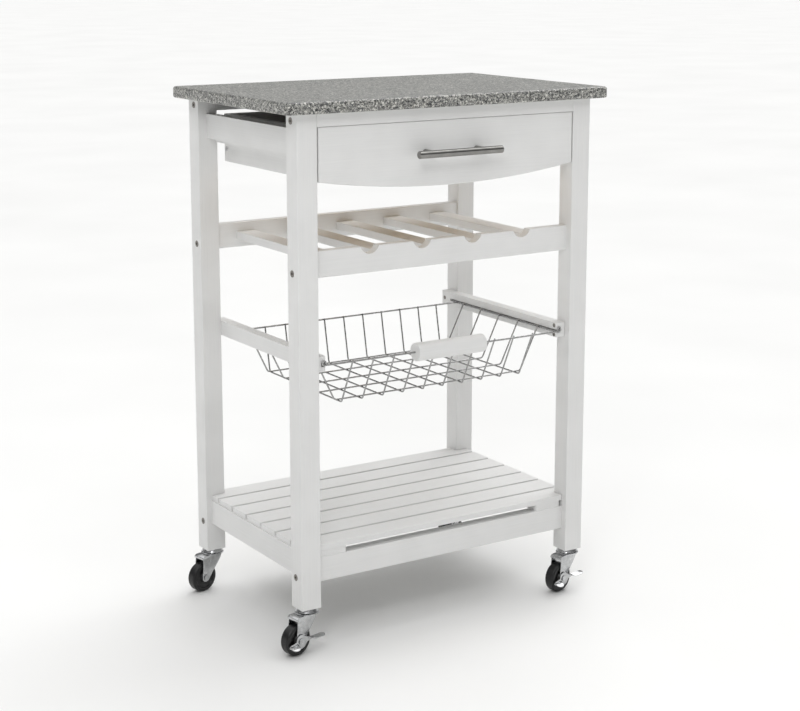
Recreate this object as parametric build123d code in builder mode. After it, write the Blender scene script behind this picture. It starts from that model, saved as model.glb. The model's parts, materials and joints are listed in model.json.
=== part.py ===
from build123d import *
import os
from math import cos, radians, sin

# Rolling kitchen cart: four legs on swivel castors, a stone worktop, a drawer, a bottle rack, a
# sliding wire basket and a slatted shelf. Millimetres. X runs left to right, Y front to back, Z up.
# The origin is on the floor under the middle of the whole cart. The drawer pull stands out in
# front, so the legs stand round a point a little behind that middle.
legs_y = 10.5

# Legs and worktop
body_width = 549.5
body_depth = 363.0
leg_width = 34.5
leg_depth = 33.5
leg_bottom = 72.4
leg_top = 844.8
top_width = 599.5
top_front = 199.4
top_back = 194.4
top_thickness = 18.2
top_corner = 10.0
top_edge_round = 4.5
top_under_round = 3.0
top_screw_x = 150.0

# Rails under the worktop, and the drawer
top_rail_bottom = 824.0
upper_side_face = 258.7
upper_side_thickness = 14.0
upper_side_bottom = 779.3
upper_side_top = 819.2
drawer_width = 462.0
drawer_wall = 12.0
drawer_bottom_z = 741.0
drawer_top_z = 819.0
drawer_back_y = 140.0
drawer_screw_heights = (762.0, 802.0)
drawer_front_width = 476.0
drawer_front_thickness = 18.0
drawer_front_top = 823.5
drawer_front_sag = 19.5
panel_thickness = 4.0
panel_z = 747.0
panel_groove = 5.0
runner_bottom = 772.7
runner_height = 14.0
runner_groove = 5.3
runner_gap = 0.3

# Bar pull
pull_length = 156.0
pull_diameter = 12.0
pull_stand_off = 28.0
pull_hole_pitch = 96.0
pull_z = 775.0

# Bottle rack
rack_middle_x = 4.0
rack_rail_face = 168.0
rack_rail_thickness = 16.0
rack_rail_bottom = 593.4
rack_rail_top = 635.0
bottle_pitch = 96.5
notch_radius = 17.5
notch_centre_z = 640.0
rack_slat_width = 34.0
rack_slat_bottom = 606.6
rack_slat_height = 13.5
rack_dowel_y = 152.0

# Basket and its rails
basket_rail_inner = 222.3
basket_rail_bottom = 447.2
basket_rail_top = 471.5
basket_rail_front = 170.0
basket_rail_back = 172.0
slide_groove_depth = 8.0
slide_groove_height = 5.0
slide_groove_back = 145.0
rail_screw_y = 163.0
back_screw_rise = 1.5
front_screw_rise = 9.0
front_screw_drop = 6.5
rim_z = 457.5
basket_floor_z = 384.0
rim_front = 171.8
rim_back = 121.0
foot_front = 133.0
foot_back = 100.0
foot_x = 182.0
wire = 2.6
rim_wire = 3.0
runner_wire_x = 226.0
inner_wire_x = 219.0
runner_wire_back = 136.0
long_wire_pitch = 38.4
long_wire_count = 10
cross_wire_pitch = 55.0
cross_wire_count = 5
cross_wire_back = 95.0
grip_length = 130.0
grip_diameter = 29.5
grip_x = 5.0
rim_half_length = 231.0

# Shelf
bottom_rail_face = 170.0
bottom_rail_thickness = 22.0
bottom_rail_bottom = 110.5
bottom_rail_top = 150.0
lower_side_face = 265.5
lower_side_thickness = 22.0
lower_side_bottom = 120.5
shelf_bottom = 161.0
shelf_top = 170.0
shelf_half_width = 263.0
shelf_half_depth = 170.0
slat_pitch = 50.6
slat_gap = 6.0
slat_count = 7
batten_width = 52.0
batten_x = 211.5
batten_half_length = 168.5

# Fastenings
bolt_y = 162.5
bolt_heights = (833.5, 603.5, 122.5)
bolt_diameter = 5.0
bolt_head = 10.5
bolt_reach = 30.0
nut_diameter = 8.0
nut_height = 14.0
hole_play = 0.25
dowel_diameter = 8.0
dowel_length = 28.0
screw_diameter = 3.5
screw_head = 7.0
screw_head_depth = 2.0

# Castors
castor_trail = 24.1
castor_turn = 13.3
wheel_diameter = 50.0
wheel_width = 18.0
fork_inside = 20.0
fork_plate = 2.0
crown_bottom = 61.6
crown_top = 64.8
cup_bottom = 66.0
cup_radius = 18.5
king_pin_radius = 5.0
axle_radius = 3.0
running_gap = 0.06

# Places worked out from the sizes above
inner_x = body_width / 2 - leg_width
inner_y = body_depth / 2 - leg_depth
leg_x = (body_width - leg_width) / 2
leg_y = (body_depth - leg_depth) / 2
drawer_face = body_depth / 2
drawer_back_of_front = drawer_face - drawer_front_thickness
pull_holes = (-pull_hole_pitch / 2, pull_hole_pitch / 2)
wheel_radius = wheel_diameter / 2
sides = (("left", -1), ("right", 1))
corners = (
    ("front_left", -1, -1),
    ("front_right", 1, -1),
    ("back_left", -1, 1),
    ("back_right", 1, 1),
)

# Working planes: seen from above, from the front and from the right, all from the legs' middle.
plan = Plane(origin=(0, legs_y, 0))
front = Plane(origin=(0, legs_y, 0), x_dir=(1, 0, 0), z_dir=(0, -1, 0))
side = Plane(origin=(0, legs_y, 0), x_dir=(0, 1, 0), z_dir=(1, 0, 0))

on_base = (Align.CENTER, Align.CENTER, Align.MIN)
along_x = (0, 90, 0)
along_y = (90, 0, 0)


def save(piece, label):
    """Names a finished piece and writes it as a STEP file."""
    piece.part.label = label
    export_step(piece.part, f"parts/{label}.step")


os.makedirs("parts", exist_ok=True)

# ---------------------------------------------------------------- frame
with BuildPart(plan) as worktop:
    with BuildSketch(plan.offset(leg_top)):
        with Locations((0, (top_back - top_front) / 2)):
            RectangleRounded(top_width, top_front + top_back, top_corner)
    extrude(amount=top_thickness)
    fillet(worktop.faces().sort_by(Axis.Z)[-1].edges(), top_edge_round)
    fillet(worktop.faces().sort_by(Axis.Z)[0].edges(), top_under_round)
    with Locations(*[(x, y, leg_top) for x in (-top_screw_x, top_screw_x) for y in (-leg_y, leg_y)]):
        Cylinder(2.6, 12, align=on_base, mode=Mode.SUBTRACT)
save(worktop, "worktop")

for name, right, back in corners:
    with BuildPart(plan) as leg:
        with Locations((right * leg_x, back * leg_y, leg_bottom)):
            Box(leg_width, leg_depth, leg_top - leg_bottom, align=on_base)
        fillet(leg.edges().filter_by(Axis.Z), 1.2)
        # Bolt holes with a counterbore in the outer face
        for z in bolt_heights:
            with Locations((right * leg_x, back * bolt_y, z)):
                Cylinder(bolt_diameter / 2 + hole_play, leg_width, rotation=along_x, mode=Mode.SUBTRACT)
            with Locations((right * body_width / 2, back * bolt_y, z)):
                Cylinder(bolt_head / 2 + hole_play, 6, rotation=along_x, mode=Mode.SUBTRACT)
        # Dowel holes for the two side rails
        for x, z in (
            (upper_side_face - upper_side_thickness / 2, (upper_side_bottom + upper_side_top) / 2),
            (lower_side_face - lower_side_thickness / 2, (lower_side_bottom + shelf_bottom) / 2),
        ):
            with Locations((right * x, back * inner_y, z)):
                Cylinder(dowel_diameter / 2, dowel_length + 1, rotation=along_y, mode=Mode.SUBTRACT)
        # Pilot holes for the basket rail's screws
        screw_heights = (rim_z + front_screw_rise, rim_z - front_screw_drop)
        if back > 0:
            screw_heights = (rim_z + back_screw_rise,)
        for z in screw_heights:
            with Locations((right * (inner_x + 8), back * rail_screw_y, z)):
                Cylinder(screw_diameter / 2, 18, rotation=along_x, mode=Mode.SUBTRACT)
        # Socket for the castor's stem
        with Locations((right * leg_x, back * leg_y, leg_bottom)):
            Cylinder(4.2, 36, align=on_base, mode=Mode.SUBTRACT)
    save(leg, f"leg_{name}")

for name, back in (("front", -1), ("back", 1)):
    with BuildPart(plan) as top_rail:
        with Locations((0, back * leg_y, top_rail_bottom)):
            Box(2 * inner_x, leg_depth, leg_top - top_rail_bottom, align=on_base)
        # Bolt and barrel nut holes in both ends
        nut_depth = bolt_heights[0] - top_rail_bottom + nut_height / 2 + 0.5
        for right in (-1, 1):
            with Locations((right * (inner_x - bolt_reach / 2), back * bolt_y, bolt_heights[0])):
                Cylinder(
                    bolt_diameter / 2 + hole_play, bolt_reach + 2, rotation=along_x, mode=Mode.SUBTRACT
                )
            with Locations((right * (inner_x - bolt_reach + 8), back * bolt_y, top_rail_bottom)):
                Cylinder(nut_diameter / 2 + 0.1, nut_depth, align=on_base, mode=Mode.SUBTRACT)
        # Screw holes up into the worktop, with the heads let in
        with Locations(*[(x, back * leg_y, top_rail_bottom) for x in (-top_screw_x, top_screw_x)]):
            Cylinder(2.8, 30, align=on_base, mode=Mode.SUBTRACT)
            Cylinder(5.0, 5, align=on_base, mode=Mode.SUBTRACT)
    save(top_rail, f"{name}_top_rail")

for name, right in sides:
    with BuildPart(plan) as upper_rail:
        with Locations((right * (upper_side_face - upper_side_thickness / 2), 0, upper_side_bottom)):
            Box(upper_side_thickness, 2 * inner_y, upper_side_top - upper_side_bottom, align=on_base)
        for back in (-1, 1):
            z = (upper_side_bottom + upper_side_top) / 2
            with Locations((right * (upper_side_face - upper_side_thickness / 2), back * inner_y, z)):
                Cylinder(dowel_diameter / 2, dowel_length + 1, rotation=along_y, mode=Mode.SUBTRACT)
    save(upper_rail, f"upper_side_rail_{name}")

    with BuildPart(plan) as lower_rail:
        x = right * (lower_side_face - lower_side_thickness / 2)
        with Locations((x, 0, lower_side_bottom)):
            Box(lower_side_thickness, 2 * inner_y, shelf_bottom - lower_side_bottom, align=on_base)
        with Locations(*[(x, y, (lower_side_bottom + shelf_bottom) / 2) for y in (-inner_y, inner_y)]):
            Cylinder(dowel_diameter / 2, dowel_length + 1, rotation=along_y, mode=Mode.SUBTRACT)
    save(lower_rail, f"bottom_side_rail_{name}")

# Hardwood strips on the upper side rails, in the grooves of the drawer's sides
runner_inner = drawer_width / 2 - runner_groove + runner_gap
runner_width = upper_side_face - upper_side_thickness - runner_inner
runner_x = runner_inner + runner_width / 2
with BuildPart(plan) as drawer_runners:
    with Locations((-runner_x, 0, runner_bottom), (runner_x, 0, runner_bottom)):
        Box(runner_width, 2 * inner_y - 4, runner_height, align=on_base)
save(drawer_runners, "drawer_runners")

# ---------------------------------------------------------------- bottle rack
rack_y = rack_rail_face - rack_rail_thickness / 2
rack_slat_z = rack_slat_bottom + rack_slat_height / 2
rack_slat_places = [rack_middle_x + bottle_pitch * (n - 2) for n in range(5)]
bottle_places = [rack_middle_x + bottle_pitch * (n - 1.5) for n in range(4)]
for name, back in (("front", -1), ("back", 1)):
    with BuildPart(plan) as rack_rail:
        with Locations((0, back * rack_y, rack_rail_bottom)):
            Box(2 * inner_x, rack_rail_thickness, rack_rail_top - rack_rail_bottom, align=on_base)
        fillet(rack_rail.edges().filter_by(Axis.X), 2)
        if back < 0:
            # Half-round notches that carry the bottles' necks
            with Locations(*[(x, back * rack_y, notch_centre_z) for x in bottle_places]):
                Cylinder(notch_radius, rack_rail_thickness + 2, rotation=along_y, mode=Mode.SUBTRACT)
        dowel_y = back * (rack_y - rack_rail_thickness / 2)
        with Locations(*[(x, dowel_y, rack_slat_z) for x in rack_slat_places]):
            Cylinder(dowel_diameter / 4, 20, rotation=along_y, mode=Mode.SUBTRACT)
        nut_depth = bolt_heights[1] - rack_rail_bottom + nut_height / 2 + 0.5
        for right in (-1, 1):
            with Locations((right * (inner_x - bolt_reach / 2), back * bolt_y, bolt_heights[1])):
                Cylinder(
                    bolt_diameter / 2 + hole_play, bolt_reach + 2, rotation=along_x, mode=Mode.SUBTRACT
                )
            with Locations((right * (inner_x - bolt_reach + 8), back * bolt_y, rack_rail_bottom)):
                Cylinder(nut_diameter / 2 + 0.1, nut_depth, align=on_base, mode=Mode.SUBTRACT)
    save(rack_rail, f"rack_{name}_rail")

with BuildPart(plan) as rack_slats:
    with Locations(*[(x, 0, rack_slat_bottom) for x in rack_slat_places]):
        Box(rack_slat_width, 2 * (rack_y - rack_rail_thickness / 2), rack_slat_height, align=on_base)
    fillet(rack_slats.edges().filter_by(Axis.Y), 1)
    with Locations(*[(x, y, rack_slat_z) for x in rack_slat_places for y in (-rack_dowel_y, rack_dowel_y)]):
        Cylinder(dowel_diameter / 4, 20, rotation=along_y, mode=Mode.SUBTRACT)
save(rack_slats, "rack_slats")

# ---------------------------------------------------------------- shelf
for name, back in (("front", -1), ("back", 1)):
    with BuildPart(plan) as bottom_rail:
        with Locations((0, back * (bottom_rail_face - bottom_rail_thickness / 2), bottom_rail_bottom)):
            Box(2 * inner_x, bottom_rail_thickness, bottom_rail_top - bottom_rail_bottom, align=on_base)
        fillet(bottom_rail.edges().filter_by(Axis.X), 1)
        nut_depth = bolt_heights[2] - bottom_rail_bottom + nut_height / 2 + 0.5
        for right in (-1, 1):
            with Locations((right * (inner_x - bolt_reach / 2), back * bolt_y, bolt_heights[2])):
                Cylinder(
                    bolt_diameter / 2 + hole_play, bolt_reach + 2, rotation=along_x, mode=Mode.SUBTRACT
                )
            with Locations((right * (inner_x - bolt_reach + 8), back * bolt_y, bottom_rail_bottom)):
                Cylinder(nut_diameter / 2 + 0.1, nut_depth, align=on_base, mode=Mode.SUBTRACT)
    save(bottom_rail, f"bottom_{name}_rail")

with BuildPart(plan) as shelf_battens:
    with Locations((-batten_x, 0, bottom_rail_top), (batten_x, 0, bottom_rail_top)):
        Box(batten_width, 2 * batten_half_length, shelf_bottom - bottom_rail_top, align=on_base)
    fillet(shelf_battens.edges().filter_by(Axis.Z), 4)
save(shelf_battens, "shelf_battens")

slat_width = slat_pitch - slat_gap
slat_thickness = shelf_top - shelf_bottom
with BuildPart(plan) as shelf_slats:
    for number in range(slat_count):
        middle = slat_pitch * (number - (slat_count - 1) / 2)
        low = max(middle - slat_width / 2, -shelf_half_depth)
        high = min(middle + slat_width / 2, shelf_half_depth)
        with Locations((0, (low + high) / 2, shelf_bottom)):
            Box(2 * shelf_half_width, high - low, slat_thickness, align=on_base)
    fillet(shelf_slats.faces().filter_by(Axis.Z).group_by(Axis.Z)[-1].edges(), 1)
    # The outermost slats are cut away round the legs
    with Locations(*[(right * leg_x, back * leg_y, shelf_bottom) for _, right, back in corners]):
        Box(leg_width + 1, leg_depth + 1, 3 * slat_thickness, mode=Mode.SUBTRACT)
save(shelf_slats, "shelf_slats")

# ---------------------------------------------------------------- frame fastenings
with BuildPart(plan) as frame_bolts:
    for z in bolt_heights:
        for _, right, back in corners:
            length = leg_width + bolt_reach - 3
            with Locations((right * (body_width / 2 - 3 - length / 2), back * bolt_y, z)):
                Cylinder(bolt_diameter / 2, length, rotation=along_x)
            with Locations((right * (body_width / 2 - 1.25), back * bolt_y, z)):
                Cylinder(bolt_head / 2, 3.5, rotation=along_x)
            with Locations((right * (body_width / 2 + 0.5), back * bolt_y, z)):
                Cylinder(2.2, 4, rotation=along_x, mode=Mode.SUBTRACT)
save(frame_bolts, "frame_bolts")

with BuildPart(plan) as barrel_nuts:
    for z in bolt_heights:
        for _, right, back in corners:
            with Locations((right * (inner_x - bolt_reach + 8), back * bolt_y, z)):
                Cylinder(nut_diameter / 2, nut_height)
                Cylinder(bolt_diameter / 2 + 0.02, nut_diameter + 2, rotation=along_x, mode=Mode.SUBTRACT)
save(barrel_nuts, "barrel_nuts")

with BuildPart(plan) as frame_dowels:
    with Locations(*[(x, y, rack_slat_z) for x in rack_slat_places for y in (-rack_dowel_y, rack_dowel_y)]):
        Cylinder(dowel_diameter / 4 - 0.05, 18, rotation=along_y)
    for _, right, back in corners:
        for x, z in (
            (upper_side_face - upper_side_thickness / 2, (upper_side_bottom + upper_side_top) / 2),
            (lower_side_face - lower_side_thickness / 2, (lower_side_bottom + shelf_bottom) / 2),
        ):
            with Locations((right * x, back * inner_y, z)):
                Cylinder(dowel_diameter / 2 - 0.05, dowel_length, rotation=along_y)
save(frame_dowels, "frame_dowels")

with BuildPart(plan) as worktop_screws:
    with Locations(*[(x, y, top_rail_bottom + 1) for x in (-top_screw_x, top_screw_x) for y in (-leg_y, leg_y)]):
        Cylinder(2.5, 30, align=on_base)
        Cylinder(4.6, 3.9, align=on_base)
save(worktop_screws, "worktop_screws")

# ---------------------------------------------------------------- drawer
with BuildPart(plan) as drawer_front:
    with BuildSketch(front.offset(drawer_back_of_front)):
        with BuildLine():
            half = drawer_front_width / 2
            corner = (half, drawer_bottom_z)
            other = (-half, drawer_bottom_z)
            Polyline(other, (-half, drawer_front_top), (half, drawer_front_top), corner)
            ThreePointArc(corner, (0, drawer_bottom_z - drawer_front_sag), other)
        make_face()
    extrude(amount=drawer_front_thickness)
    fillet(drawer_front.faces().sort_by(Axis.Y)[0].edges(), 1.5)
    # Groove for the bottom panel, and the pull's two screw holes
    with Locations((0, -drawer_back_of_front, panel_z)):
        Box(
            drawer_width - 2 * drawer_wall + 2 * panel_groove,
            2 * panel_groove,
            panel_thickness,
            align=on_base,
            mode=Mode.SUBTRACT,
        )
    with Locations(*[(x, -drawer_face, pull_z) for x in pull_holes]):
        Cylinder(2.2, 60, rotation=along_y, mode=Mode.SUBTRACT)
save(drawer_front, "drawer_front")

drawer_length = drawer_back_of_front + drawer_back_y
for name, right in sides:
    with BuildPart(plan) as drawer_side:
        x = right * (drawer_width - drawer_wall) / 2
        with Locations((x, drawer_back_y - drawer_length / 2, drawer_bottom_z)):
            Box(drawer_wall, drawer_length, drawer_top_z - drawer_bottom_z, align=on_base)
        fillet(drawer_side.faces().sort_by(Axis.Z)[-1].edges().filter_by(Axis.Y), 1)
        # Inner groove for the bottom panel, outer groove for the runner
        inside = right * (drawer_width / 2 - drawer_wall)
        with Locations((inside, drawer_back_y - drawer_length / 2, panel_z)):
            Box(2 * panel_groove, drawer_length, panel_thickness, align=on_base, mode=Mode.SUBTRACT)
        groove_length = drawer_back_y + inner_y + 2
        groove_height = runner_height + 2 * runner_gap
        outside = right * drawer_width / 2
        with Locations((outside, drawer_back_y - groove_length / 2, runner_bottom - runner_gap)):
            Box(2 * runner_groove, groove_length, groove_height, align=on_base, mode=Mode.SUBTRACT)
        with Locations(*[(x, drawer_back_y - drawer_wall / 2, z) for z in drawer_screw_heights]):
            Cylinder(screw_diameter / 2 + 0.1, 2 * drawer_wall, rotation=along_x, mode=Mode.SUBTRACT)
        with Locations(*[(outside, drawer_back_y - drawer_wall / 2, z) for z in drawer_screw_heights]):
            Cylinder(screw_head / 2 + 0.1, 2 * screw_head_depth, rotation=along_x, mode=Mode.SUBTRACT)
    save(drawer_side, f"drawer_side_{name}")

with BuildPart(plan) as drawer_back:
    inside_width = drawer_width - 2 * drawer_wall
    with Locations((0, drawer_back_y - drawer_wall / 2, panel_z + panel_thickness)):
        Box(inside_width, drawer_wall, drawer_top_z - panel_z - panel_thickness, align=on_base)
    screw_y = drawer_back_y - drawer_wall / 2
    ends = (-inside_width / 2, inside_width / 2)
    with Locations(*[(x, screw_y, z) for x in ends for z in drawer_screw_heights]):
        Cylinder(screw_diameter / 2 + 0.1, 50, rotation=along_x, mode=Mode.SUBTRACT)
save(drawer_back, "drawer_back")

with BuildPart(plan) as drawer_bottom:
    panel_front = drawer_back_of_front + panel_groove - 0.2
    with Locations((0, (drawer_back_y - panel_front) / 2, panel_z)):
        panel_width = inside_width + 2 * panel_groove - 0.4
        Box(panel_width, drawer_back_y + panel_front, panel_thickness, align=on_base)
save(drawer_bottom, "drawer_bottom")

with BuildPart(plan) as drawer_screws:
    for _, right in sides:
        for z in drawer_screw_heights:
            with Locations((right * (drawer_width / 2 - 16), drawer_back_y - drawer_wall / 2, z)):
                Cylinder(screw_diameter / 2, 30, rotation=along_x)
            middle = right * (drawer_width / 2 - screw_head_depth / 2 - 0.1)
            with Locations((middle, drawer_back_y - drawer_wall / 2, z)):
                Cylinder(screw_head / 2, screw_head_depth - 0.2, rotation=along_x)
save(drawer_screws, "drawer_screws")

pull_y = -drawer_face - pull_stand_off
with BuildPart(plan) as pull_bar:
    with Locations((0, pull_y, pull_z)):
        Cylinder(pull_diameter / 2, pull_length, rotation=along_x)
    chamfer(pull_bar.edges().filter_by(GeomType.CIRCLE), 0.8)
    with Locations(*[(x, pull_y + pull_diameter / 2, pull_z) for x in pull_holes]):
        Cylinder(3.1, pull_diameter, rotation=along_y, mode=Mode.SUBTRACT)
save(pull_bar, "pull_bar")

with BuildPart(plan) as pull_posts:
    for x in pull_holes:
        shoulder = pull_stand_off - pull_diameter / 2 - 0.2
        with Locations((x, -drawer_face - shoulder / 2, pull_z)):
            Cylinder(5, shoulder, rotation=along_y)
        with Locations((x, pull_y + pull_diameter / 2 - 1.5, pull_z)):
            Cylinder(3, 5, rotation=along_y)
        with Locations((x, -drawer_face, pull_z)):
            Cylinder(2, 32, rotation=along_y, mode=Mode.SUBTRACT)
save(pull_posts, "pull_posts")

with BuildPart(plan) as pull_screws:
    for x in pull_holes:
        with Locations((x, -drawer_back_of_front - 15, pull_z)):
            Cylinder(1.95, 30, rotation=along_y)
        with Locations((x, -drawer_back_of_front + 1.2, pull_z)):
            Cylinder(4, 2.4, rotation=along_y)
save(pull_screws, "pull_screws")

# ---------------------------------------------------------------- basket
rail_length = basket_rail_front + basket_rail_back
rail_middle_y = (basket_rail_back - basket_rail_front) / 2
rail_width = inner_x - basket_rail_inner
screw_places = (
    (rail_screw_y, rim_z + back_screw_rise),
    (-rail_screw_y, rim_z + front_screw_rise),
    (-rail_screw_y, rim_z - front_screw_drop),
)
for name, right in sides:
    with BuildPart(plan) as basket_rail:
        with Locations((right * (basket_rail_inner + rail_width / 2), rail_middle_y, basket_rail_bottom)):
            Box(rail_width, rail_length, basket_rail_top - basket_rail_bottom, align=on_base)
        fillet(basket_rail.edges().filter_by(Axis.Z), 2)
        groove_length = slide_groove_back + basket_rail_front + 10
        groove_middle_y = slide_groove_back - groove_length / 2
        with Locations((right * basket_rail_inner, groove_middle_y, rim_z - slide_groove_height / 2)):
            Box(
                2 * slide_groove_depth,
                groove_length,
                slide_groove_height,
                align=on_base,
                mode=Mode.SUBTRACT,
            )
        for y, z in screw_places:
            with Locations((right * basket_rail_inner, y, z)):
                Cylinder(screw_diameter / 2 + 0.1, 2 * rail_width + 2, rotation=along_x, mode=Mode.SUBTRACT)
                Cylinder(screw_head / 2 + 0.1, 2 * screw_head_depth, rotation=along_x, mode=Mode.SUBTRACT)
    save(basket_rail, f"basket_rail_{name}")

with BuildPart(plan) as basket_rail_screws:
    for _, right in sides:
        for y, z in screw_places:
            with Locations((right * (basket_rail_inner + 0.2 + 16), y, z)):
                Cylinder(screw_diameter / 2 - 0.05, 32, rotation=along_x)
            with Locations((right * (basket_rail_inner + 0.1 + screw_head_depth / 2), y, z)):
                Cylinder(screw_head / 2, screw_head_depth - 0.2, rotation=along_x)
            with Locations((right * basket_rail_inner, y, z)):
                Cylinder(1.4, 2, rotation=along_x, mode=Mode.SUBTRACT)
save(basket_rail_screws, "basket_rail_screws")

with BuildPart(plan) as basket_front_rim:
    with Locations((0, -rim_front, rim_z)):
        Cylinder(rim_wire / 2, 2 * rim_half_length, rotation=along_x)
    fillet(basket_front_rim.edges().filter_by(GeomType.CIRCLE), 1)
save(basket_front_rim, "basket_front_rim")

with BuildPart(plan) as basket_back_rim:
    with Locations((0, rim_back, rim_z)):
        Cylinder(rim_wire / 2, 2 * (inner_wire_x - rim_wire / 2) - 0.2, rotation=along_x)
save(basket_back_rim, "basket_back_rim")

# A hairpin of wire on each side: its outer leg slides in the rail's groove, its inner leg is the rim
rim_front_end = -rim_front + rim_wire / 2 + 0.1
for name, right in sides:
    with BuildPart() as basket_runner:
        with BuildLine(plan.offset(rim_z)):
            half_gap = (runner_wire_x - inner_wire_x) / 2
            outer = Line((right * runner_wire_x, rim_front_end), (right * runner_wire_x, runner_wire_back))
            inner = Line((right * inner_wire_x, runner_wire_back), (right * inner_wire_x, rim_front_end))
            crest = (right * (inner_wire_x + half_gap), runner_wire_back + half_gap)
            ThreePointArc(outer @ 1, crest, inner @ 0)
        with BuildSketch(front.offset(-rim_front_end)):
            with Locations((right * runner_wire_x, rim_z)):
                Circle(rim_wire / 2)
        sweep()
    save(basket_runner, f"basket_runner_{name}")

long_wires_x = [long_wire_pitch * (n - (long_wire_count - 1) / 2) for n in range(long_wire_count)]
cross_wires_y = [cross_wire_back - cross_wire_pitch * n for n in range(cross_wire_count)]
cross_wire_z = basket_floor_z + wire + 0.05
floor_bend = 6.0
foot = 10.0

with BuildPart(plan) as basket_floor:
    long_length = foot_front + foot_back - 2 * foot
    with Locations(*[(x, (foot_back - foot_front) / 2, basket_floor_z) for x in long_wires_x]):
        Cylinder(wire / 2, long_length, rotation=along_y)
    with Locations(*[(0, y, cross_wire_z) for y in cross_wires_y]):
        Cylinder(wire / 2, 2 * (foot_x - foot), rotation=along_x)
save(basket_floor, "basket_floor_wires")

# The long wires rise to the front and back rims; those behind the wooden grip end just below it.
grip_clearance = grip_diameter / 2 + 0.4
rim_clearance = rim_wire / 2 + 0.6
for name, rim_y, foot_y in (
    ("front", -rim_front, -foot_front),
    ("back", rim_back, foot_back),
):
    with BuildPart() as wall_wires:
        for x in long_wires_x:
            in_grip = name == "front" and abs(x - grip_x) < grip_length / 2
            rise = rim_z - basket_floor_z
            run = rim_y - foot_y
            stop = (grip_clearance if in_grip else rim_clearance) / (rise**2 + run**2) ** 0.5
            inward = 1 if name == "front" else -1
            with BuildLine(side.offset(x)) as path:
                FilletPolyline(
                    (rim_y - run * stop, rim_z - rise * stop),
                    (foot_y, basket_floor_z),
                    (foot_y + inward * (foot - 0.05), basket_floor_z),
                    radius=floor_bend,
                )
            with BuildSketch(Plane(path.line @ 0, z_dir=path.line % 0)):
                Circle(wire / 2)
            sweep(path=path.line)
    save(wall_wires, f"basket_{name}_wires")

# The cross wires rise to the hairpins' inner legs.
for name, right in sides:
    with BuildPart() as end_wires:
        for y in cross_wires_y:
            rise = rim_z - cross_wire_z
            run = inner_wire_x - foot_x
            stop = rim_clearance / (rise**2 + run**2) ** 0.5
            with BuildLine(front.offset(-y)) as path:
                FilletPolyline(
                    (right * (inner_wire_x - run * stop), rim_z - rise * stop),
                    (right * foot_x, cross_wire_z),
                    (right * (foot_x - foot + 0.05), cross_wire_z),
                    radius=floor_bend,
                )
            with BuildSketch(Plane(path.line @ 0, z_dir=path.line % 0)):
                Circle(wire / 2)
            sweep(path=path.line)
    save(end_wires, f"basket_{name}_wires")

with BuildPart(plan) as basket_grip:
    with Locations((grip_x, -rim_front, rim_z)):
        Cylinder(grip_diameter / 2, grip_length, rotation=along_x)
    fillet(basket_grip.edges().filter_by(GeomType.CIRCLE), 1.5)
    with Locations((0, -rim_front, rim_z)):
        Cylinder(rim_wire / 2 + 0.1, 2 * body_width, rotation=along_x, mode=Mode.SUBTRACT)
save(basket_grip, "basket_grip")

# ---------------------------------------------------------------- castors
# Every castor trails to the left and a little to the front. In the swivel's plane X runs along the
# trail, Y across the wheel towards the front, and Z up, from the floor under the king pin.
turn = radians(castor_turn)
trail = Vector(-cos(turn), -sin(turn), 0)
crosswise = Vector(sin(turn), -cos(turn), 0)
fork_outside = fork_inside / 2 + fork_plate
cheek = 7.5
cheek_lean = 0.6
brake_inner = fork_outside + 0.4
brake_plate = 1.6
pedal_drop = 6.8
tab_rise = 1.2
brake_outer = brake_inner + brake_plate
hub_half = fork_inside / 2 - 0.35
tyre_half = wheel_width / 2

# Stem, dished cup and king pin turned as one: the cup sits under the leg
with BuildPart(plan) as castor_stems:
    with BuildSketch(front):
        with BuildLine():
            Polyline(
                (0, 57.0),
                (8.0, 57.0),
                (8.0, crown_bottom - 0.6),
                (king_pin_radius, crown_bottom - 0.6),
                (king_pin_radius, cup_bottom + 1.0),
                (cup_radius - 2.0, cup_bottom + 1.0),
                (cup_radius - 0.8, cup_bottom),
                (cup_radius, cup_bottom + 0.8),
                (cup_radius - 2.2, leg_bottom - 1.2),
                (cup_radius - 4.0, leg_bottom),
                (4.0, leg_bottom),
                (4.0, leg_bottom + 34),
                (0, leg_bottom + 34),
                close=True,
            )
        make_face()
    stem = revolve(axis=Axis(plan.origin, (0, 0, 1)), mode=Mode.PRIVATE)
    with Locations(*[(right * leg_x, back * leg_y, 0) for _, right, back in corners]):
        add(stem.moved(Location((0, -legs_y, 0))))
save(castor_stems, "castor_stems")

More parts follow.
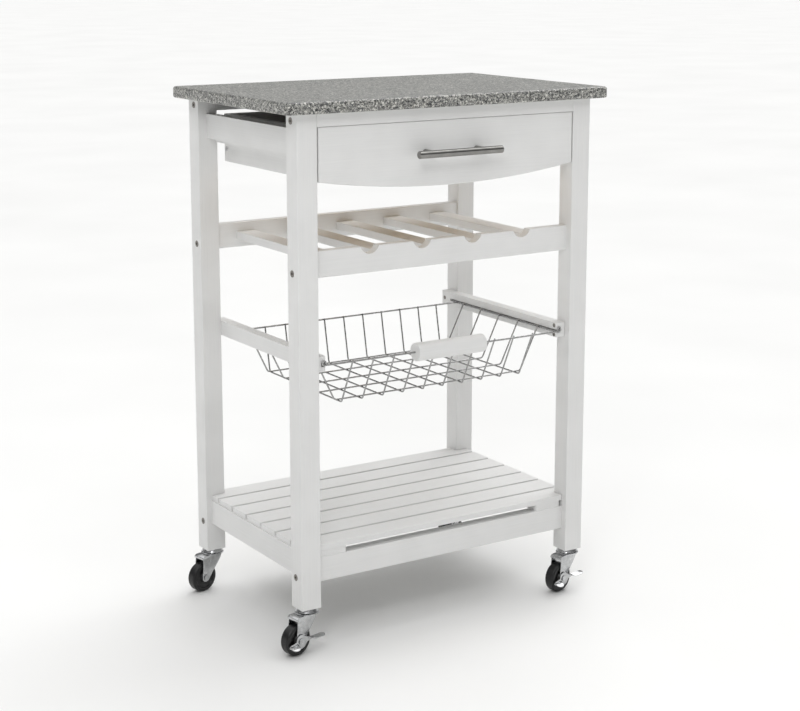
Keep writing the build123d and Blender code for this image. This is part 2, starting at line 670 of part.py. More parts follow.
for name, right, back in corners:
    braked = back < 0
    swivel = Plane(origin=(right * leg_x, legs_y + back * leg_y, 0), x_dir=trail)
    # X along the trail and Z up, seen from behind, so its offsets run from front to back
    beside = Plane(origin=swivel.origin, x_dir=trail, z_dir=-crosswise)
    axle_point = swivel.origin + trail * castor_trail + Vector(0, 0, wheel_radius)
    through_axle = Plane(origin=axle_point, x_dir=crosswise, z_dir=-trail)

    # Fork: a crown round the king pin with a square lip over the wheel, and two tapered cheeks
    with BuildPart(swivel) as fork:
        with BuildSketch(swivel.offset(crown_bottom)):
            Circle(cup_radius + 0.6)
            with Locations((castor_trail / 2 + 1, 0)):
                Rectangle(castor_trail + 6, 2 * fork_outside)
        extrude(amount=crown_top - crown_bottom)
        back_foot = (castor_trail - cheek * cos(cheek_lean), wheel_radius - cheek * sin(cheek_lean))
        front_foot = (castor_trail + cheek, wheel_radius)
        for start in (-fork_outside, fork_inside / 2):
            with BuildSketch(beside.offset(start)):
                with BuildLine():
                    lip = castor_trail + 4
                    Polyline(front_foot, (lip, crown_bottom), (-12.0, crown_bottom), back_foot)
                    ThreePointArc(back_foot, (castor_trail, wheel_radius - cheek), front_foot)
                make_face()
                with Locations((castor_trail, wheel_radius)):
                    Circle(axle_radius + 0.02, mode=Mode.SUBTRACT)
            extrude(amount=fork_plate)
        with Locations((0, 0, crown_bottom)):
            Cylinder(king_pin_radius + running_gap, 12, mode=Mode.SUBTRACT)
    save(fork, f"castor_fork_{name}")

    # Axle rivet, longer on the braked castors because it also carries the lever
    near_head = brake_outer + 0.2 if braked else fork_outside
    with BuildPart() as axle:
        with BuildSketch(beside.offset(-near_head)):
            with Locations((castor_trail, wheel_radius)):
                Circle(axle_radius)
        extrude(amount=near_head + fork_outside)
        for start in (-near_head - 1.4, fork_outside):
            with BuildSketch(beside.offset(start)):
                with Locations((castor_trail, wheel_radius)):
                    Circle(5)
            extrude(amount=1.4)
    save(axle, f"castor_axle_{name}")

    # Wheel: a solid tyre with dished faces and a hub that nearly fills the fork
    with BuildPart() as wheel:
        with BuildSketch(through_axle):
            with BuildLine():
                bore = axle_radius + running_gap
                edge = wheel_radius - 4
                face = tyre_half - 2
                Polyline((tyre_half, edge), (tyre_half, 18.5), (face, 17), (face, 9.5))
                Polyline((face, 9.5), (hub_half, 8), (hub_half, bore), (-hub_half, bore))
                Polyline((-hub_half, bore), (-hub_half, 8), (-face, 9.5), (-face, 17))
                Polyline((-face, 17), (-tyre_half, 18.5), (-tyre_half, edge))
                shoulder = (tyre_half - 1.3, wheel_radius - 1.2)
                tread = (tyre_half - 4, wheel_radius)
                ThreePointArc((-tyre_half, edge), (-shoulder[0], shoulder[1]), (-tread[0], tread[1]))
                Line((-tread[0], tread[1]), tread)
                ThreePointArc(tread, shoulder, (tyre_half, edge))
            make_face()
        revolve(axis=Axis(axle_point, crosswise))
    save(wheel, f"castor_wheel_{name}")

    if braked:
        # Brake lever: a plate on the axle with a pedal to one side and a release tab to the other
        with BuildPart(swivel) as lever:
            with BuildSketch(beside.offset(-brake_outer)):
                with Locations((castor_trail, wheel_radius)):
                    Circle(8)
                with Locations((castor_trail + 9, wheel_radius - 5)):
                    Rectangle(20, 6)
                with Locations((castor_trail - 14, wheel_radius + tab_rise - 1.4)):
                    Rectangle(24, 6)
                with Locations((castor_trail, wheel_radius)):
                    Circle(axle_radius + running_gap, mode=Mode.SUBTRACT)
            extrude(amount=brake_plate)
            with Locations((castor_trail + 10, brake_inner + 6, wheel_radius - pedal_drop)):
                Box(18, 12, brake_plate, align=on_base)
            with Locations((castor_trail - 32, brake_inner + 5, wheel_radius + tab_rise)):
                Box(28, 10, brake_plate, align=on_base)
        save(lever, f"castor_brake_{name}")
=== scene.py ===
import json
from math import cos, degrees, radians, sin, tan
import bmesh
import bpy
from mathutils import Matrix, Vector


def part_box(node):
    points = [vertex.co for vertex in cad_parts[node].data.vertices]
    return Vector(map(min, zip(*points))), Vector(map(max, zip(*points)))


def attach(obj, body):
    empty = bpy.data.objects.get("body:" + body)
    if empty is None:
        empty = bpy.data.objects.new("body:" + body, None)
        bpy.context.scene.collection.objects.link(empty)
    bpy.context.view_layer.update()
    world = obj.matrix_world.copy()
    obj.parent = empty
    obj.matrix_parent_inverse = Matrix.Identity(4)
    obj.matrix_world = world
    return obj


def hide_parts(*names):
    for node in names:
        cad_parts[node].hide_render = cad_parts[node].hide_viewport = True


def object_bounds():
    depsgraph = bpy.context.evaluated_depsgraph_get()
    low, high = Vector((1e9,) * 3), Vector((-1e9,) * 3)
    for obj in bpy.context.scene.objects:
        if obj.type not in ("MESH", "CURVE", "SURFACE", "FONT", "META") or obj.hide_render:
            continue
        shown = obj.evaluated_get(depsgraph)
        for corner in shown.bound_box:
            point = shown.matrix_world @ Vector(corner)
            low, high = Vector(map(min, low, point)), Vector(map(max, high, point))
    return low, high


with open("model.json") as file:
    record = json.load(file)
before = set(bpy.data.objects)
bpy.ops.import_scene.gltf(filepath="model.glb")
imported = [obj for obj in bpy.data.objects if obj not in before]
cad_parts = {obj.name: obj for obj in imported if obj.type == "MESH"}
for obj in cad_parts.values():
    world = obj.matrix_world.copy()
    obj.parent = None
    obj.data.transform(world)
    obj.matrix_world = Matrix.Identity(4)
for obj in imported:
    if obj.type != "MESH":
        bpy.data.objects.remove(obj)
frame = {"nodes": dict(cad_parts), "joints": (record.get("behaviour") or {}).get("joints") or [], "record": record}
cadLow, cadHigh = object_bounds()
nodes = frame["nodes"]
joints = {joint["name"]: joint for joint in frame["joints"]}
mm = 0.001
up = Vector((0, 0, 1))


def toLinear(hexColour):
    channels = [int(hexColour[start:start + 2], 16) / 255 for start in (1, 3, 5)]
    return [c / 12.92 if c < 0.04045 else ((c + 0.055) / 1.055) ** 2.4 for c in channels] + [1.0]


def addNode(owner, kind, settings=None, links=None):
    # owner is a material or the world; each link names the node and the output that feed an input
    node = owner.node_tree.nodes.new(kind)
    for key, value in (settings or {}).items():
        if key == "ramp":
            ramp = node.color_ramp
            while len(ramp.elements) < len(value):
                ramp.elements.new(0.5)
            for element, (position, colour) in zip(ramp.elements, value):
                element.position = position
                element.color = toLinear(colour)
        elif isinstance(key, str) and key[0].islower():
            setattr(node, key, value)
        else:
            node.inputs[key].default_value = value
    for key, (source, output) in (links or {}).items():
        owner.node_tree.links.new(source.outputs[output], node.inputs[key])
    return node


cameraSettings = {
    "place": (-1.5152, -2.3976, 1.0803),
    "turnRight": 32.54,
    "lookDown": 11.13,
    "lens": 77.93,
    "sensor": 36.0,
    "shiftUp": -0.08,
}
bpy.ops.object.select_all(action="DESELECT")
bpy.ops.object.camera_add(
    location=cameraSettings["place"],
    rotation=(radians(90 - cameraSettings["lookDown"]), 0, -radians(cameraSettings["turnRight"])),
)
camera = bpy.context.object
camera.data.lens = cameraSettings["lens"]
camera.data.sensor_width = cameraSettings["sensor"]
camera.data.shift_y = cameraSettings["shiftUp"]
bpy.context.scene.camera = camera
bpy.context.scene.view_settings.view_transform = "Standard"

lightSettings = {
    "sky": 1.3,
    # tones of the tent from the horizon up: a white band, grey walls, a bright top
    "skyTones": [
        (0.0, "#D8D8D8"), (0.1, "#D8D8D8"), (0.17, "#4C4C4C"), (0.45, "#6E6E6E"), (0.8, "#FFFFFF")
    ],
    "sun": 1.1,           # broad light from high up at the back, that reaches in over the shelf
    "sunAngle": 50.0,
    "sunTurn": (40.0, 0.0, 118.0),
    "panel": 12.0,        # a soft box over the left front, for the glints on the metal
    "panelSize": 0.6,
    "panelPlace": (-1.6, -1.9, 2.2),
}
world = bpy.data.worlds.new("white tent")
world.use_nodes = True
bpy.context.scene.world = world
direction = addNode(world, "ShaderNodeTexCoord")
height = addNode(world, "ShaderNodeSeparateXYZ", links={"Vector": (direction, "Generated")})
skyTone = addNode(
    world, "ShaderNodeValToRGB", {"ramp": lightSettings["skyTones"]}, {"Fac": (height, "Z")}
)
sky = world.node_tree.nodes["Background"]
sky.inputs["Strength"].default_value = lightSettings["sky"]
world.node_tree.links.new(skyTone.outputs["Color"], sky.inputs["Color"])

bpy.ops.object.light_add(type="SUN", rotation=[radians(a) for a in lightSettings["sunTurn"]])
sun = bpy.context.object
sun.data.energy = lightSettings["sun"]
sun.data.angle = radians(lightSettings["sunAngle"])
panelPlace = Vector(lightSettings["panelPlace"])
panelAim = ((cadLow + cadHigh) / 2 - panelPlace).to_track_quat("-Z", "Y").to_euler()
bpy.ops.object.light_add(type="AREA", location=panelPlace, rotation=panelAim)
panel = bpy.context.object
panel.data.energy = lightSettings["panel"]
panel.data.size = lightSettings["panelSize"]
print("camera and light ready")


def startMaterial(name):
    material = bpy.data.materials.new(name)
    material.use_nodes = True
    material.node_tree.nodes.clear()
    return material, addNode(material, "ShaderNodeTexCoord")


def finishMaterial(material, look, tone, glossFrom, reliefFrom=None):
    # one pattern spreads the gloss between two roughness values, one stands out as relief;
    # most of either lies between 0.3 and 0.7
    rough = addNode(
        material,
        "ShaderNodeMapRange",
        {
            "From Min": 0.3,
            "From Max": 0.7,
            "To Min": look["roughness"][0],
            "To Max": look["roughness"][1],
        },
        {"Value": (glossFrom, "Fac")},
    )
    links = {"Base Color": tone, "Roughness": (rough, "Result")}
    if reliefFrom is not None:
        strength, depth = look["relief"]
        relief = addNode(
            material,
            "ShaderNodeBump",
            {"Strength": strength, "Distance": depth * mm},
            {"Height": (reliefFrom, "Fac")},
        )
        links["Normal"] = (relief, "Normal")
    shader = addNode(material, "ShaderNodeBsdfPrincipled", look["shine"], links)
    addNode(material, "ShaderNodeOutputMaterial", links={"Surface": (shader, "BSDF")})
    return material


def grainLines(material, place, grain, look):
    # long lines that follow the grain
    stretch = [1 / (look["lineWidth"] * mm)] * 3
    stretch["xyz".index(grain)] = 1 / (look["lineLength"] * mm)
    along = addNode(
        material, "ShaderNodeMapping", {"Scale": stretch}, {"Vector": (place, "Object")}
    )
    settings = {"Scale": 1.0, "Detail": look["lineDetail"], "Roughness": look["lineBreak"]}
    return addNode(material, "ShaderNodeTexNoise", settings, {"Vector": (along, "Vector")})


# Satin lacquer sprayed on solid wood: an even white with soft highlights. The grain below shows as
# faint long lines, drawn a little wider than real grain so that they show.
paintLook = {
    "tones": [(0.12, "#E4E4E3"), (0.42, "#DEDEDD")],
    "lineWidth": 1.6,
    "lineLength": 90.0,
    "lineDetail": 3.0,
    "lineBreak": 0.6,
    "cloudSize": 60.0,
    "roughness": (0.36, 0.5),
    "relief": (0.5, 0.03),
    "shine": {"IOR": 1.5},
}


def satinLacquer(grain):
    look = paintLook
    material, place = startMaterial(f"satin white lacquer, grain along {grain}")
    lines = grainLines(material, place, grain, look)
    cloud = addNode(
        material,
        "ShaderNodeTexNoise",
        {"Scale": 1 / (look["cloudSize"] * mm), "Detail": 2.0},
        {"Vector": (place, "Object")},
    )
    both = addNode(
        material,
        "ShaderNodeMath",
        {"operation": "MULTIPLY"},
        {0: (lines, "Fac"), 1: (cloud, "Fac")},
    )
    tone = addNode(
        material, "ShaderNodeValToRGB", {"ramp": look["tones"]}, {"Fac": (both, "Value")}
    )
    return finishMaterial(material, look, (tone, "Color"), cloud, lines)


# Bare beech of the drawer's bottom and the dowels: pale and planed, with long growth lines and a
# dull sheen.
beechLook = {
    "tones": [(0.3, "#BC9C72"), (0.65, "#D9C3A0")],
    "lineWidth": 3.0,
    "lineLength": 90.0,
    "lineDetail": 5.0,
    "lineBreak": 0.65,
    "roughness": (0.5, 0.68),
    "relief": (0.4, 0.08),
    "shine": {"IOR": 1.5},
}


def planedBeech(grain):
    look = beechLook
    material, place = startMaterial(f"planed beech, grain along {grain}")
    lines = grainLines(material, place, grain, look)
    tone = addNode(
        material, "ShaderNodeValToRGB", {"ramp": look["tones"]}, {"Fac": (lines, "Fac")}
    )
    return finishMaterial(material, look, (tone, "Color"), lines, lines)


# Salt and pepper granite, sawn and polished: close grains of black, greys and chalk white with
# crooked edges, under one even gloss.
graniteLook = {
    "grain": 2.5,
    "fleck": 1.3,
    "fleckShare": 0.4,
    "wander": 1.5,
    "tones": [
        (0.0, "#1B1C1D"), (0.2, "#505254"), (0.42, "#7C7C78"), (0.66, "#9F9F99"), (0.86, "#D8D7D0")
    ],
    "fleckTones": [(0.0, "#232425"), (0.42, "#8A8A85"), (0.76, "#D9D8D2")],
    "roughness": (0.32, 0.42),
    "relief": (0.1, 0.01),
    "shine": {"IOR": 1.5},
}


def polishedGranite():
    look = graniteLook
    material, place = startMaterial("polished salt and pepper granite")
    drift = addNode(
        material,
        "ShaderNodeTexNoise",
        {"Scale": 1 / (look["grain"] * mm), "Detail": 2.0},
        {"Vector": (place, "Object")},
    )
    crooked = addNode(
        material,
        "ShaderNodeVectorMath",
        {"operation": "MULTIPLY_ADD", 1: [look["wander"] * mm] * 3},
        {0: (drift, "Color"), 2: (place, "Object")},
    )
    tones = []
    for size, ramp in ((look["grain"], look["tones"]), (look["fleck"], look["fleckTones"])):
        cells = addNode(
            material,
            "ShaderNodeTexVoronoi",
            {"Scale": 1 / (size * mm)},
            {"Vector": (crooked, "Vector")},
        )
        chance = addNode(material, "ShaderNodeSeparateColor", links={"Color": (cells, "Color")})
        tone = addNode(material, "ShaderNodeValToRGB", {"ramp": ramp}, {"Fac": (chance, "Red")})
        tone.color_ramp.interpolation = "CONSTANT"
        tones.append(tone)
    mixed = addNode(
        material,
        "ShaderNodeMix",
        {"data_type": "RGBA", 0: look["fleckShare"]},
        {6: (tones[0], "Color"), 7: (tones[1], "Color")},
    )
    return finishMaterial(material, look, (mixed, 2), drift, drift)


# Finishes of one plain tone that darkens and lightens a little, with a gloss as uneven.
plainLooks = {
    # Chrome on drawn wire: dark, sharp reflections
    "chrome plated wire": {
        "tones": [(0.3, "#8E8E8E"), (0.7, "#B0B0AF")], "cloud": 6.0, "detail": 4.0, "break": 0.6,
        "roughness": (0.16, 0.3), "relief": (0.4, 0.01), "shine": {"Metallic": 1.0},
    },
    # Polished nickel on a turned bar: a mirror with a warm tint
    "polished nickel": {
        "tones": [(0.3, "#7F7E7B"), (0.7, "#93928F")], "cloud": 18.0, "detail": 4.0, "break": 0.6,
        "roughness": (0.08, 0.15), "relief": (0.4, 0.002), "shine": {"Metallic": 1.0},
    },
    # Bright zinc on pressed steel: cool, a little cloudy
    "bright zinc plate": {
        "tones": [(0.3, "#ACADAE"), (0.7, "#CDCECF")], "cloud": 7.0, "detail": 4.0, "break": 0.6,
        "roughness": (0.16, 0.3), "relief": (0.4, 0.01), "shine": {"Metallic": 1.0},
    },
    # Bronzed steel bolt heads: a grey brown with a dull gloss
    "bronzed steel": {
        "tones": [(0.3, "#7A7772"), (0.7, "#96928D")], "cloud": 3.0, "detail": 4.0, "break": 0.6,
        "roughness": (0.34, 0.5), "relief": (0.4, 0.02), "shine": {"Metallic": 1.0},
    },
    # Black polypropylene wheels: moulded, nearly even, with a soft gloss and a light orange peel
    "black moulded polypropylene": {
        "tones": [(0.3, "#0A0A0B"), (0.7, "#131314")], "cloud": 1.5, "detail": 2.0, "break": 0.5,
        "roughness": (0.3, 0.46), "relief": (0.35, 0.03), "shine": {"IOR": 1.49},
    },
}


def plainFinish(name):
    look = plainLooks[name]
    material, place = startMaterial(name)
    cloud = addNode(
        material,
        "ShaderNodeTexNoise",
        {"Scale": 1 / (look["cloud"] * mm), "Detail": look["detail"], "Roughness": look["break"]},
        {"Vector": (place, "Object")},
    )
    tone = addNode(
        material, "ShaderNodeValToRGB", {"ramp": look["tones"]}, {"Fac": (cloud, "Fac")}
    )
    return finishMaterial(material, look, (tone, "Color"), cloud, cloud)


paint = {grain: satinLacquer(grain) for grain in "xyz"}
slotFinish = {
    "bare_wood": planedBeech("y"),
    "granite": polishedGranite(),
    "polished_nickel": plainFinish("polished nickel"),
    "chrome_wire": plainFinish("chrome plated wire"),
    "zinc": plainFinish("bright zinc plate"),
    "dark_steel": plainFinish("bronzed steel"),
    "black_tread": plainFinish("black moulded polypropylene"),
}
frontToBack = ("rack_slats", "shelf_battens")   # sets of boards, wider as a set than they are long


def grainOf(name):
    # a board carries its grain along its length
    low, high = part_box(name)
    size = list(high - low)
    return "y" if name in frontToBack else "xyz"[size.index(max(size))]


for subpart in frame["record"]["subparts"]:
    name, slotName = subpart["node"], subpart["material_slot"]
    finish = paint[grainOf(name)] if slotName == "painted_wood" else slotFinish[slotName]
    nodes[name].data.materials.clear()
    nodes[name].data.materials.append(finish)
print("materials ready")

# White painted studio floor, quite matt, that runs out to the horizon
floorSettings = {
    "size": 140.0,
    "cuts": 3,
    "patches": 1.5,       # tone patches to a metre
    "tones": [(0.3, "#ECECEB"), (0.7, "#F0F0EF")],
    "roughness": (0.85, 0.95),
    "shine": {"Specular IOR Level": 0.1},
}


def studioWhite():
    look = floorSettings
    material, place = startMaterial("matt white studio paint")
    cloud = addNode(
        material, "ShaderNodeTexNoise", {"Scale": look["patches"]}, {"Vector": (place, "Object")}
    )
    tone = addNode(
        material, "ShaderNodeValToRGB", {"ramp": look["tones"]}, {"Fac": (cloud, "Fac")}
    )
    return finishMaterial(material, look, (tone, "Color"), cloud)


bpy.ops.object.select_all(action="DESELECT")
bpy.ops.mesh.primitive_plane_add(size=floorSettings["size"], location=(0, 0, 0))
bpy.ops.object.mode_set(mode="EDIT")
bpy.ops.mesh.subdivide(number_cuts=floorSettings["cuts"])
bpy.ops.object.mode_set(mode="OBJECT")
floor = bpy.context.object
floor.name = "studioFloor"
floor.data.materials.append(studioWhite())
print("floor ready")

modelling = {
    "weldGap": 0.01,      # points closer than this, in mm, are one
    "seamGap": 0.001,     # the same along one wire, where a bend starts
    "wireSides": 12,
    "bendStep": 15.0,     # degrees to each step of a bend
    "flatEnough": 0.99,   # how squarely a face looks the way it is asked to
}


def finishPiece(name, body, slotName, smoothAngle, *replaced):
    piece = bpy.context.object
    bpy.ops.object.mode_set(mode="EDIT")
    bpy.ops.mesh.select_all(action="SELECT")
    bpy.ops.mesh.remove_doubles(threshold=modelling["weldGap"] * mm)
    bpy.ops.mesh.normals_make_consistent(inside=False)
    bpy.ops.object.mode_set(mode="OBJECT")
    bpy.ops.object.transform_apply(location=True, rotation=True, scale=True)
    bpy.ops.object.shade_smooth_by_angle(angle=radians(smoothAngle))
    piece.name = name
    piece.data.name = name
    piece.data.materials.clear()
    piece.data.materials.append(slotFinish[slotName])
    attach(piece, body)
    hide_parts(*replaced)


def selectOnly(*pieces):
    bpy.ops.object.select_all(action="DESELECT")
    for piece in pieces:
        piece.select_set(True)
    bpy.context.view_layer.objects.active = pieces[0]


def joinPieces(*pieces):
    selectOnly(*pieces)
    bpy.ops.object.join()
    return pieces[0]


def copyPiece(piece, shift):
    # a copy with its own mesh, moved into place
    selectOnly(piece)
    bpy.ops.object.duplicate()
    twin = bpy.context.object
    twin.location = twin.location + Vector(shift)
    return twin


def makeRow(piece, count, step):
    # the piece and its copies at equal steps, as one
    copies = [copyPiece(piece, Vector(step) * number) for number in range(1, count)]
    return joinPieces(piece, *copies)


def drawWire(start, heading, across, thick, moves):
    # A ring drawn out along straight lengths and spun round bends, in one plane square to across.
    # Each move is a length, then a bend in degrees and its radius.
    place, heading, across = Vector(start), Vector(heading).normalized(), Vector(across)
    bpy.ops.object.select_all(action="DESELECT")
    bpy.ops.mesh.primitive_circle_add(
        vertices=modelling["wireSides"],
        radius=thick / 2,
        location=place,
        rotation=heading.to_track_quat("Z", "Y").to_euler(),
    )
    bpy.ops.object.mode_set(mode="EDIT")
    bpy.ops.mesh.select_all(action="SELECT")
    for length, bend, radius in moves:
        if length:
            bpy.ops.mesh.extrude_region_move(TRANSFORM_OT_translate={"value": heading * length})
            place = place + heading * length
        if bend:
            side = 1 if bend > 0 else -1
            centre = place + across.cross(heading) * (radius * side)
            steps = max(3, round(abs(bend) / modelling["bendStep"]))
            bpy.ops.mesh.spin(steps=steps, angle=-radians(bend), center=centre, axis=across)
            turn = Matrix.Rotation(radians(bend), 3, across)
            place = centre + turn @ (place - centre)
            heading = turn @ heading
    bpy.ops.mesh.select_all(action="SELECT")
    bpy.ops.mesh.remove_doubles(threshold=modelling["seamGap"] * mm)
    bpy.ops.mesh.fill_holes(sides=modelling["wireSides"])
    bpy.ops.object.mode_set(mode="OBJECT")
    bpy.ops.object.transform_apply(location=True, rotation=True, scale=True)
    return bpy.context.object


def drawOutline(points):
    # A plane merged to one point, drawn out from place to place and filled; edit mode stays on
    bpy.ops.object.select_all(action="DESELECT")
    bpy.ops.mesh.primitive_plane_add(size=mm, location=points[0])
    bpy.ops.object.mode_set(mode="EDIT")
    bpy.ops.mesh.select_all(action="SELECT")
    bpy.ops.mesh.merge(type="CENTER")
    for here, there in zip(points, points[1:]):
        bpy.ops.mesh.extrude_vertices_move(TRANSFORM_OT_translate={"value": there - here})
    bpy.ops.mesh.select_all(action="SELECT")
    bpy.ops.mesh.edge_face_add()
    return bpy.context.object


basket = {
    "wire": 2.6,
    "rimWire": 3.0,
    "longWires": 10,
    "longPitch": 38.4,
    "crossWires": 5,
    "crossPitch": 55.0,
    "foot": 10.0,         # from the end of the straight floor wires to the corner of a bent wire
    "cornerBend": 6.0,
    "rimHook": 28.0,      # a long wire's end leans over the front and back rims, where it is welded
    "sideHook": 72.0,     # a cross wire only lies over the hairpin, clear of the rail
    "eyeRadius": 3.2,
    "eyeTurn": 300.0,
    "hairpinOuter": 226.0,
    "hairpinInner": 219.0,
    "smoothAngle": 50.0,
}


def middleOf(name):
    low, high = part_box(name)
    return (low + high) / 2


def bentWire(along, place, rims, corners, level, hook):
    # From rim to rim: hook, wall, corner, floor, corner, wall, hook. Rims are (distance, height).
    reach = (basket["wire"] + basket["rimWire"]) / 2 * mm
    bend = basket["cornerBend"] * mm
    slopes, walls, feet = [], [], []
    for side, rim, corner in zip((-1, 1), rims, corners):
        slope = Vector((abs(rim[0] - corner), rim[1] - level)).angle(Vector((1, 0)))
        touch = (rim[0] - side * reach * sin(slope), rim[1] + reach * cos(slope))
        length = (touch[1] - level) / sin(slope)
        slopes.append(slope)
        walls.append(length - bend * tan(slope / 2))
        feet.append(touch[0] - side * length * cos(slope))
    floorRun = feet[1] - feet[0] - bend * (tan(slopes[0] / 2) + tan(slopes[1] / 2))
    facing = radians(hook) - slopes[0]
    heading = along * cos(facing) + up * sin(facing)
    overRim = up * cos(facing) - along * sin(facing)
    start = Vector(place) + along * rims[0][0] + up * rims[0][1] + overRim * reach
    moves = [
        (0, -hook, reach),
        (walls[0], degrees(slopes[0]), bend),
        (floorRun, degrees(slopes[1]), bend),
        (walls[1], -hook, reach),
    ]
    return drawWire(start, heading, along.cross(up), basket["wire"] * mm, moves)


rimWire = basket["rimWire"] * mm
sunk = rimWire / 4        # a welded end reaches this far past the other wire's side
frontRim, backRim = middleOf("basket_front_rim"), middleOf("basket_back_rim")
rimHeight = frontRim.z
floorLow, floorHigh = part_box("basket_floor_wires")
foot = basket["foot"] * mm
longPitch = basket["longPitch"] * mm
longWire = bentWire(
    Vector((0, 1, 0)),
    (-longPitch * (basket["longWires"] - 1) / 2, 0, 0),
    ((frontRim.y, rimHeight), (backRim.y, rimHeight)),
    (floorLow.y - foot, floorHigh.y + foot),
    floorLow.z + basket["wire"] / 2 * mm,
    basket["rimHook"],
)
makeRow(longWire, basket["longWires"], (longPitch, 0, 0))
finishPiece(
    "basketLongWires", "basket", "chrome_wire", basket["smoothAngle"],
    "basket_floor_wires", "basket_front_wires", "basket_back_wires",
)

hairpin = basket["hairpinInner"] * mm
crossPitch = basket["crossPitch"] * mm
crossWire = bentWire(
    Vector((1, 0, 0)),
    (0, middleOf("basket_left_wires").y - crossPitch * (basket["crossWires"] - 1) / 2, 0),
    ((-hairpin, rimHeight), (hairpin, rimHeight)),
    (floorLow.x - foot, floorHigh.x + foot),
    floorHigh.z - basket["wire"] / 2 * mm,
    basket["sideHook"],
)
makeRow(crossWire, basket["crossWires"], (0, crossPitch, 0))
finishPiece(
    "basketCrossWires", "basket", "chrome_wire", basket["smoothAngle"],
    "basket_left_wires", "basket_right_wires",
)

# The front rim ends in a small eye at each side; the back rim is welded between the hairpins.
eye, eyeTurn = basket["eyeRadius"] * mm, radians(basket["eyeTurn"])
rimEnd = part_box("basket_front_rim")[1].x - rimWire / 2 - eye
frontWire = drawWire(
    (-rimEnd - eye * sin(eyeTurn), frontRim.y, rimHeight + eye - eye * cos(eyeTurn)),
    (cos(eyeTurn), 0, -sin(eyeTurn)),
    (0, -1, 0),
    rimWire,
    [(0, basket["eyeTurn"], eye), (2 * rimEnd, basket["eyeTurn"], eye)],
)
backEnd = hairpin - sunk
backWire = drawWire(
    (-backEnd, backRim.y, rimHeight), (1, 0, 0), (0, -1, 0), rimWire, [(2 * backEnd, 0, 0)]
)
joinPieces(frontWire, backWire)
finishPiece(
    "basketRims", "basket", "chrome_wire", basket["smoothAngle"],
    "basket_front_rim", "basket_back_rim",
)

# A hairpin of wire on each side: the outer leg slides in the rail's groove, the inner is the rim.
hairpinStart = frontRim.y + sunk
turnRadius = (basket["hairpinOuter"] - basket["hairpinInner"]) / 2 * mm
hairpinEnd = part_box("basket_runner_left")[1].y - rimWire / 2 - turnRadius
hairpinLength = hairpinEnd - hairpinStart
for sideName, side in (("Left", -1), ("Right", 1)):
    drawWire(
        (side * basket["hairpinOuter"] * mm, hairpinStart, rimHeight),
        (0, 1, 0),
        (0, 0, side),
        rimWire,
        [(hairpinLength, 180, turnRadius), (hairpinLength, 0, 0)],
    )
    finishPiece(
        f"basketHairpin{sideName}", "basket", "chrome_wire", basket["smoothAngle"],
        f"basket_runner_{sideName.lower()}",
    )
print("basket ready")

# Castors, modelled once at the front left and copied to the other corners
castor = {
    # half section of the crown: distance from the king pin, height
    "crown": [
        (5.1, 61.6), (14.5, 61.6), (17.5, 62.3), (19.0, 63.1), (19.1, 64.4), (18.4, 64.8),
        (16.4, 63.9), (13.5, 63.2), (5.1, 63.2),
    ],
    "crownSteps": 48,
    # cheek seen from the side: distance along the trail, height
    "cheek": [
        (-11.0, 62.4), (-9.5, 56.0), (-3.5, 47.5), (4.5, 38.5), (12.0, 28.5), (17.2, 21.8),
        (20.0, 18.7), (24.1, 17.6), (28.3, 18.8), (31.0, 21.8), (31.5, 25.0), (30.9, 32.0),
        (29.6, 44.0), (28.4, 55.0), (27.6, 62.4),
    ],
    "cheekInner": 10.0,
    "cheekOuter": 11.3,
    "cheekMargin": 1.7,   # flat border round the pressed middle
    "pressing": 0.6,
    # nose of the crown over the wheel, seen from the side
    "nose": [
        (6.0, 61.7), (25.6, 61.7), (28.2, 60.4), (29.3, 57.6), (30.7, 58.0), (29.9, 61.2),
        (26.4, 63.4), (6.0, 63.4),
    ],
    "noseOverhang": 0.3,  # past the cheeks
    "edgeRound": 0.35,
    "edgeSteps": 2,
    "edgeAngle": 40.0,    # edges sharper than this are rounded
    "smoothAngle": 40.0,
}
brake = {
    # lever plate seen from the side: distance along the trail, height
    "plate": [
        (33.5, 26.0), (38.0, 25.0), (44.5, 23.6), (48.0, 21.4), (47.6, 18.6), (43.0, 16.4),
        (36.0, 14.2), (29.0, 12.6), (22.5, 12.4), (16.8, 14.6), (13.4, 18.4), (11.0, 21.6),
        (4.0, 23.0), (-1.0, 24.6), (-1.8, 26.2), (0.0, 27.9), (10.0, 29.0), (15.4, 31.0),
        (19.6, 34.4), (25.4, 35.6), (30.4, 33.4), (33.2, 29.4),
    ],
    "plateIn": 12.45,
    "plateOut": 13.55,
    "plateMargin": 1.5,
    "ridge": 0.45,
    # pedal and release tab seen from above: distance along the trail, distance out from the wheel
    "pedal": [
        (31.0, 12.6), (46.4, 12.6), (48.2, 16.5), (47.8, 19.5), (45.0, 22.6), (40.0, 23.8),
        (35.0, 23.0), (31.8, 20.6), (30.6, 16.6),
    ],
    "pedalUp": 21.4,
    "pedalLean": 0.5,     # pedal and tab slope down away from the wheel
    "pedalMargin": 3.0,
    "tab": [
        (6.0, 12.6), (6.0, 17.6), (2.6, 20.6), (-3.0, 22.0), (-15.0, 22.4), (-19.4, 21.2),
        (-21.8, 18.0), (-21.4, 15.0), (-18.6, 12.9), (-14.0, 12.6),
    ],
    "tabUp": 27.0,
    "tabLean": 0.28,
    "tabMargin": 2.0,
    "flange": 1.5,
    "dish": 0.5,
}
kingPin = Vector(joints["swivel_front_left"]["pos_m"])
crosswise = Vector(joints["wheel_spin_front_left"]["axis"]).normalized()
trail = crosswise.cross(up).normalized()


def inCastor(out, side, height):
    # out along the trail, side towards the brake, both from the king pin; height above the floor
    return Vector((kingPin.x, kingPin.y, height * mm)) + (trail * out + crosswise * side) * mm


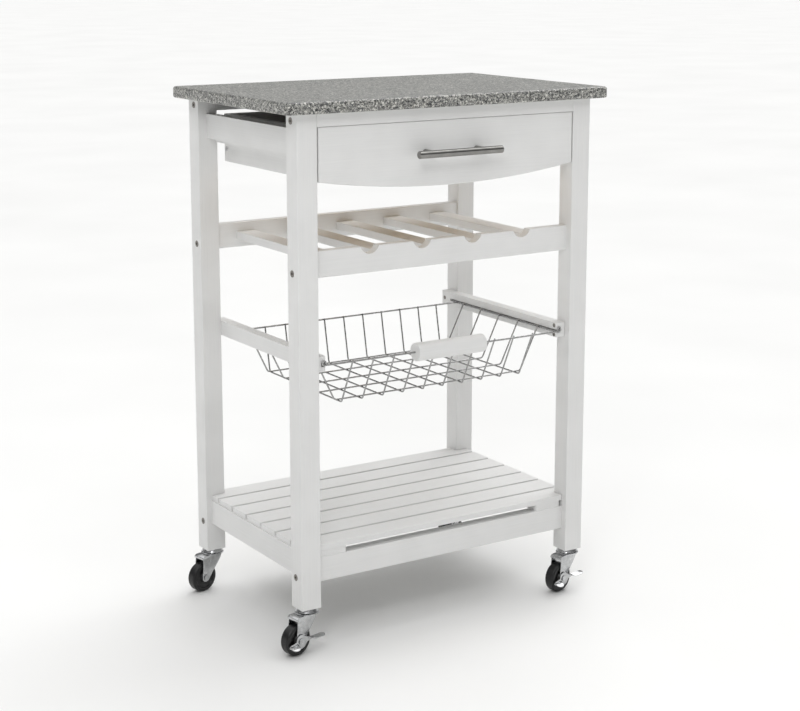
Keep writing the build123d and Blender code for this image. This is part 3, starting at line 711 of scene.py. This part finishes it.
def selectFarthest(piece, direction):
    # selects the one flat face that lies farthest along direction
    mesh = bmesh.from_edit_mesh(piece.data)
    turned = piece.matrix_world.to_3x3()
    facing = [
        face for face in mesh.faces
        if abs((turned @ face.normal).dot(direction)) > modelling["flatEnough"]
    ]
    best = max(
        facing, key=lambda face: (piece.matrix_world @ face.calc_center_median()).dot(direction)
    )
    for face in mesh.faces:
        face.select = face is best
    mesh.select_flush_mode()
    bmesh.update_edit_mesh(piece.data)


def pressedPlate(outline, direction, thickness, margin, press):
    # a plate with its middle pressed out, or dished where press is negative
    piece = drawOutline(outline)
    bpy.ops.mesh.extrude_region_move(
        TRANSFORM_OT_translate={"value": direction * thickness * mm}
    )
    bpy.ops.mesh.select_all(action="SELECT")
    bpy.ops.mesh.normals_make_consistent(inside=False)
    selectFarthest(piece, direction)
    bpy.ops.mesh.inset(thickness=margin * mm)
    bpy.ops.transform.translate(value=direction * press * mm)
    bpy.ops.object.mode_set(mode="OBJECT")
    return piece


def roundEdges(pieces):
    for piece in pieces:
        bpy.context.view_layer.objects.active = piece
        bevel = piece.modifiers.new("rounded edges", "BEVEL")
        bevel.width = castor["edgeRound"] * mm
        bevel.segments = castor["edgeSteps"]
        bevel.limit_method = "ANGLE"
        bevel.angle_limit = radians(castor["edgeAngle"])
        bpy.ops.object.modifier_apply(modifier=bevel.name)


def placeAtCorners(model, corners, pieceName, bodyName, nodeName):
    # the model itself stands at the front left, so that corner comes last
    for corner in corners:
        if corner == "front_left":
            selectOnly(model)
        else:
            copyPiece(model, Vector(joints[f"swivel_{corner}"]["pos_m"]) - kingPin)
        finishPiece(
            f"{pieceName}_{corner}", f"{bodyName}_{corner}", "zinc", castor["smoothAngle"],
            f"{nodeName}_{corner}",
        )


crown = drawOutline([inCastor(out, 0, height) for out, height in castor["crown"]])
bpy.ops.mesh.delete(type="ONLY_FACE")
bpy.ops.mesh.select_all(action="SELECT")
bpy.ops.mesh.spin(
    steps=castor["crownSteps"], angle=radians(360), center=inCastor(0, 0, 0), axis=up
)
bpy.ops.mesh.select_all(action="SELECT")
bpy.ops.mesh.remove_doubles(threshold=modelling["weldGap"] * mm)
bpy.ops.object.mode_set(mode="OBJECT")

sheet = castor["cheekOuter"] - castor["cheekInner"]
cheeks = [
    pressedPlate(
        [inCastor(out, side * castor["cheekInner"], height) for out, height in castor["cheek"]],
        crosswise * side,
        sheet,
        castor["cheekMargin"],
        castor["pressing"],
    )
    for side in (-1, 1)
]
noseSide = castor["cheekOuter"] + castor["noseOverhang"]
nose = drawOutline([inCastor(out, -noseSide, height) for out, height in castor["nose"]])
bpy.ops.mesh.extrude_region_move(
    TRANSFORM_OT_translate={"value": crosswise * 2 * noseSide * mm}
)
bpy.ops.object.mode_set(mode="OBJECT")
roundEdges([*cheeks, nose])
fork = joinPieces(crown, *cheeks, nose)
placeAtCorners(
    fork,
    ("front_right", "back_left", "back_right", "front_left"),
    "castorFork",
    "castor",
    "castor_fork",
)

plate = pressedPlate(
    [inCastor(out, brake["plateIn"], height) for out, height in brake["plate"]],
    crosswise,
    brake["plateOut"] - brake["plateIn"],
    brake["plateMargin"],
    brake["ridge"],
)
flanges = []
for name in ("pedal", "tab"):
    lean, level = brake[name + "Lean"], brake[name + "Up"]
    outline = [
        inCastor(out, side, level - (side - brake["plateIn"]) * lean) for out, side in brake[name]
    ]
    upright = (up + crosswise * lean).normalized()
    flanges.append(
        pressedPlate(outline, upright, brake["flange"], brake[name + "Margin"], -brake["dish"])
    )
roundEdges([plate, *flanges])
lever = joinPieces(plate, *flanges)
placeAtCorners(lever, ("front_right", "front_left"), "brakeLever", "brake", "castor_brake")
print("castors ready")
